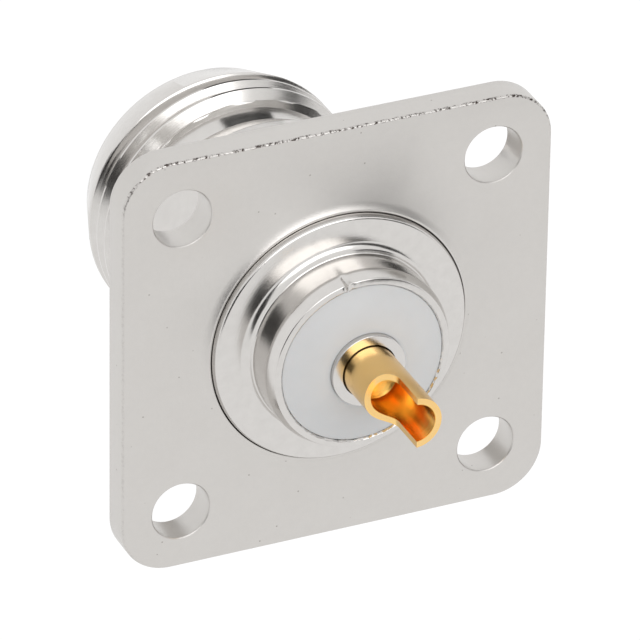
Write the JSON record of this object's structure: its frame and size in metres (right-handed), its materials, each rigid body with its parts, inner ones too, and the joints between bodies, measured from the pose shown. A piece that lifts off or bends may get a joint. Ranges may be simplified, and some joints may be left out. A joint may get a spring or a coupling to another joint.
{
  "type": "n type connector",
  "caption": "Coaxial panel socket with a threaded barrel, a square flange with mounting holes, and a scooped solder cup on the centre contact.",
  "frame": {"origin": "on the connector's axis, in the flange's rear face", "axes": "+Z along the axis to the solder cup, -Z to the mating end; X and Y along the flange's edges, and the solder cup is open towards -X"},
  "size_m": [0.0254, 0.0254, 0.0292],
  "materials": {
    "nickel_satin": "nickel plated, satin",
    "nickel_bright": "nickel plated, bright",
    "ptfe": "smooth white",
    "gold_plate": "gold plated, bright"
  },
  "bodies": {
    "root": {"flange_plate": "nickel_satin", "threaded_body": "nickel_bright", "rear_insulator": "ptfe", "front_insulator": "ptfe", "contact_ring": "nickel_bright", "centre_contact": "gold_plate"}
  },
  "joints": []
}
